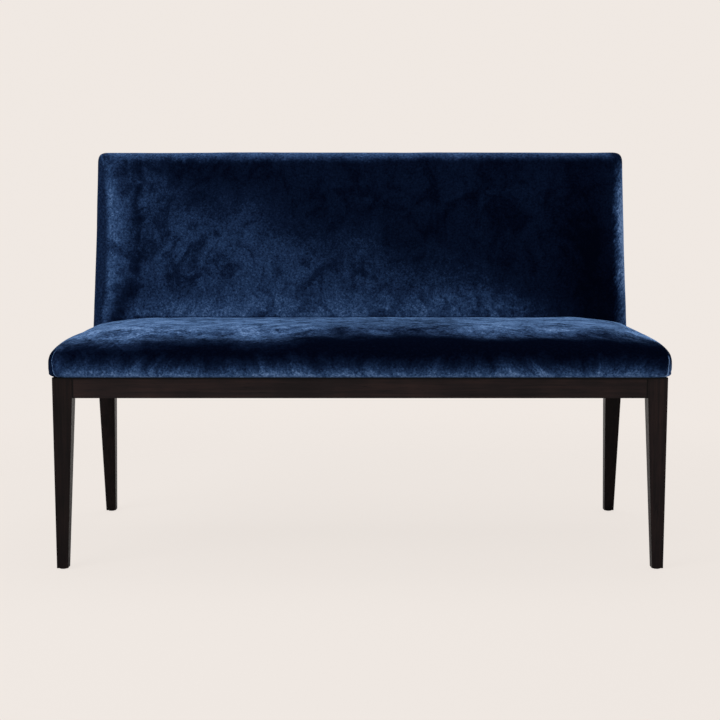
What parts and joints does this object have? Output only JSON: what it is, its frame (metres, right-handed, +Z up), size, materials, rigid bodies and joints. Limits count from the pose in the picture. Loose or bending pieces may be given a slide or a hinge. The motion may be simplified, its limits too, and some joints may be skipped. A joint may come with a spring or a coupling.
{
  "type": "settee",
  "caption": "Armless dining settee with one wide upholstered seat, a padded leaning back, a slim dark timber rail and tapered legs; the rear legs rake backwards.",
  "frame": {"origin": "on the floor, at the middle of the bounding box's width and depth", "axes": "+X to the right of someone who faces the settee, +Y from its front to its back, +Z up"},
  "size_m": [1.372, 0.7067, 0.935],
  "materials": {
    "stained_wood": "satin",
    "frame_wood": "matte",
    "board": "matte",
    "steel": "satin",
    "glide": "matte",
    "velvet": "matte",
    "foam": "matte",
    "webbing": "matte",
    "cambric": "matte"
  },
  "bodies": {
    "root": {"front_leg_left": "stained_wood", "front_leg_right": "stained_wood", "rear_leg_left": "stained_wood", "rear_leg_right": "stained_wood", "front_rail": "stained_wood", "rear_rail": "stained_wood", "side_rail_left": "stained_wood", "side_rail_right": "stained_wood", "cross_rail_left": "stained_wood", "cross_rail_right": "stained_wood", "rail_dowels": "frame_wood", "corner_blocks": "frame_wood", "corner_block_screws": "steel", "foot_glides": "glide", "seat_frame_front": "frame_wood", "seat_frame_rear": "frame_wood", "seat_frame_left": "frame_wood", "seat_frame_right": "frame_wood", "seat_frame_bars": "frame_wood", "seat_frame_dowels": "frame_wood", "seat_webbing_along": "webbing", "seat_webbing_across": "webbing", "seat_foam": "foam", "seat_cover": "velvet", "dust_cover": "cambric", "seat_screws": "steel", "back_top_rail": "frame_wood", "back_bottom_rail": "frame_wood", "back_uprights": "frame_wood", "back_dowels": "frame_wood", "back_webbing": "webbing", "back_foam": "foam", "back_cover": "velvet", "outside_back_board": "board", "outside_back_cover": "velvet"}
  },
  "joints": []
}
